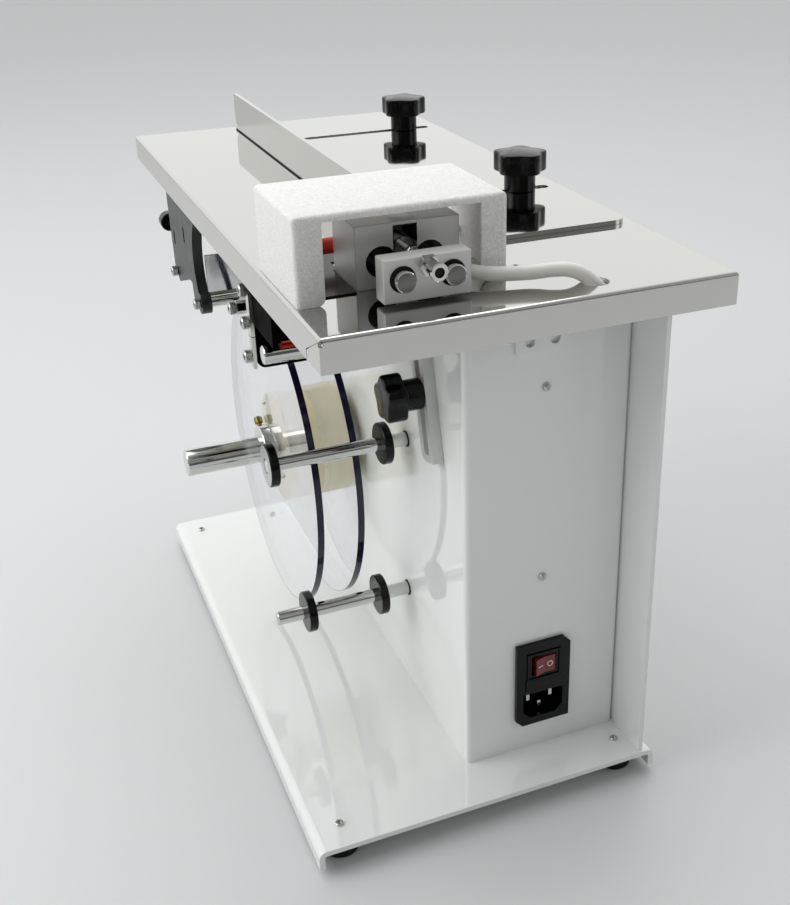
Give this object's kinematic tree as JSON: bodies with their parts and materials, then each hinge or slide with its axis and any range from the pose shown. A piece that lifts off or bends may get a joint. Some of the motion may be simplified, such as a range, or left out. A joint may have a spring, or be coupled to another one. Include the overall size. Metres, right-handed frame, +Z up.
{
  "type": "corner labeling machine",
  "caption": "Desk labeling machine: stainless table with a sliding fence, sprung label head under a hood, and a reel of labels on a shaft beside a white tower.",
  "frame": {"origin": "on the floor under the middle of the machine's box", "axes": "+X along the reel shaft towards the housing, +Y from the operator to the back, +Z up"},
  "size_m": [0.2354, 0.443, 0.3405],
  "materials": {
    "white_paint": "gloss powder coat",
    "wrinkle_paint": "white wrinkle coat",
    "dark_paint": "dark coat",
    "black_paint": "black coat",
    "stainless": "polished stainless sheet",
    "steel": "ground bright steel",
    "zinc_steel": "plated fasteners",
    "aluminium": "milled",
    "black_plastic": "moulded black",
    "red_plastic": "moulded red",
    "red_rubber": "ground roller rubber",
    "black_rubber": "moulded",
    "clear_acrylic": "polished clear sheet",
    "nylon": "turned natural nylon",
    "brass": "turned",
    "pvc": "extruded white",
    "circuit_board": "solder mask"
  },
  "bodies": {
    "machine": {"base_plate": "white_paint", "housing": "white_paint", "side_panel": "white_paint", "table_lug": "white_paint", "hood": "wrinkle_paint", "rear_bracket": "dark_paint", "feed_bracket": "black_paint", "table_top": "stainless", "near_side_plate": "stainless", "power_supply": "stainless", "reel_shaft": "steel", "upper_rod": "steel", "lower_rod": "steel", "stop_collar": "steel", "web_bars": "steel", "pinch_axle": "steel", "press_axle": "steel", "return_spring": "steel", "inlet_pins": "steel", "foot_screws": "zinc_steel", "housing_screws": "zinc_steel", "bracket_screws": "zinc_steel", "rear_screws": "zinc_steel", "table_bushes": "zinc_steel", "head_block": "aluminium", "backing_plate": "aluminium", "inlet_body": "black_plastic", "guide_bushes": "black_plastic", "rubber_feet": "black_rubber", "drive_belt": "black_rubber", "cable": "pvc", "control_board": "circuit_board", "stepper_motor": "dark_paint"},
    "reel": {"reel_hub": "nylon", "outer_disc": "clear_acrylic", "inner_disc": "clear_acrylic"},
    "reel_lock": {"lock_collar": "steel", "lock_screw": "brass"},
    "guide_upper_left": {"upper_collar_left": "black_plastic"},
    "guide_upper_right": {"upper_collar_right": "black_plastic"},
    "guide_lower_left": {"lower_collar_left": "black_plastic"},
    "guide_lower_right": {"lower_collar_right": "black_plastic"},
    "fence_slider": {"fence": "stainless"},
    "near_knob": {"fence_knob_near": "black_plastic"},
    "far_knob": {"fence_knob_far": "black_plastic"},
    "sensor_bar": {"slotted_bar": "aluminium", "label_sensor": "black_plastic"},
    "bar_clamp": {"bar_knob": "black_plastic"},
    "bracket_clamp": {"bracket_knob": "black_plastic"},
    "rocker": {"rocker_switch": "red_plastic"},
    "fuse_tray": {"fuse_drawer": "black_plastic"},
    "trigger": {"trigger_bar": "aluminium", "guide_pins": "steel", "sensor_barrel": "steel"},
    "feed": {"feed_roller": "steel", "drive_pulley": "aluminium"},
    "pinch": {"pinch_roller": "red_rubber"},
    "motor_rotor": {"motor_pulley": "aluminium"},
    "press": {"press_roller": "red_rubber"},
    "rear_idler": {"rear_roller": "steel"}
  },
  "joints": [
    {"name": "reel_spin", "type": "hinge", "parent": "machine", "child": "reel", "pos_m": [-0.05225, 0.0025, 0.14], "axis": [1, 0, 0], "continuous": true},
    {"name": "reel_lock_slide", "type": "slide", "parent": "machine", "child": "reel_lock", "axis": [-1, 0, 0], "range_m": [0, 0.04]},
    {"name": "upper_left_slide", "type": "slide", "parent": "machine", "child": "guide_upper_left", "axis": [1, 0, 0], "range_m": [0, 0.055]},
    {"name": "upper_right_slide", "type": "slide", "parent": "machine", "child": "guide_upper_right", "axis": [1, 0, 0], "range_m": [-0.055, 0.01]},
    {"name": "lower_left_slide", "type": "slide", "parent": "machine", "child": "guide_lower_left", "axis": [1, 0, 0], "range_m": [-0.015, 0.035]},
    {"name": "lower_right_slide", "type": "slide", "parent": "machine", "child": "guide_lower_right", "axis": [1, 0, 0], "range_m": [-0.035, 0.013]},
    {"name": "fence_slide", "type": "slide", "parent": "machine", "child": "fence_slider", "axis": [1, 0, 0], "range_m": [-0.014, 0.071]},
    {"name": "near_knob_turn", "type": "hinge", "parent": "machine", "child": "near_knob", "pos_m": [0.08675, -0.046, 0.2985], "axis": [0, 0, 1], "continuous": true},
    {"name": "far_knob_turn", "type": "hinge", "parent": "machine", "child": "far_knob", "pos_m": [0.08675, 0.144, 0.2985], "axis": [0, 0, 1], "continuous": true},
    {"name": "sensor_bar_slide", "type": "slide", "parent": "machine", "child": "sensor_bar", "axis": [0, -0.2419, -0.9703], "range_m": [-0.02, 0.018]},
    {"name": "bar_knob_turn", "type": "hinge", "parent": "machine", "child": "bar_clamp", "pos_m": [-0.02225, -0.1435, 0.2285], "axis": [1, 0, 0], "continuous": true},
    {"name": "bracket_knob_turn", "type": "hinge", "parent": "machine", "child": "bracket_clamp", "pos_m": [-0.0825, 0.1735, 0.2455], "axis": [0, 1, 0], "continuous": true},
    {"name": "rocker_tilt", "type": "hinge", "parent": "machine", "child": "rocker", "pos_m": [0.03475, -0.1865, 0.072], "axis": [0, 0, 1], "range_deg": [-16, 0]},
    {"name": "fuse_drawer_slide", "type": "slide", "parent": "machine", "child": "fuse_tray", "axis": [0, -1, 0], "range_m": [0, 0.018]},
    {"name": "trigger_press", "type": "slide", "parent": "machine", "child": "trigger", "axis": [0, 1, 0], "range_m": [0, 0.006], "stiffness_N_per_m": 400, "springref_m": -0.004, "deforming": ["return_spring"]},
    {"name": "feed_spin", "type": "hinge", "parent": "machine", "child": "feed", "pos_m": [-0.05225, -0.1095, 0.2495], "axis": [1, 0, 0], "continuous": true},
    {"name": "pinch_spin", "type": "hinge", "parent": "machine", "child": "pinch", "pos_m": [-0.05225, -0.1095, 0.2629], "axis": [1, 0, 0], "continuous": true},
    {"name": "motor_spin", "type": "hinge", "parent": "machine", "child": "motor_rotor", "pos_m": [0.00775, -0.0475, 0.2495], "axis": [1, 0, 0], "continuous": true},
    {"name": "press_spin", "type": "hinge", "parent": "machine", "child": "press", "pos_m": [-0.04225, -0.1305, 0.3095], "axis": [1, 0, 0], "continuous": true},
    {"name": "rear_roller_spin", "type": "hinge", "parent": "machine", "child": "rear_idler", "pos_m": [-0.05225, 0.072, 0.2175], "axis": [1, 0, 0], "continuous": true}
  ],
  "couplings": [
    {"joint": "pinch_spin", "follows": "feed_spin", "ratio": -0.625},
    {"joint": "motor_spin", "follows": "feed_spin", "ratio": 1.75}
  ]
}
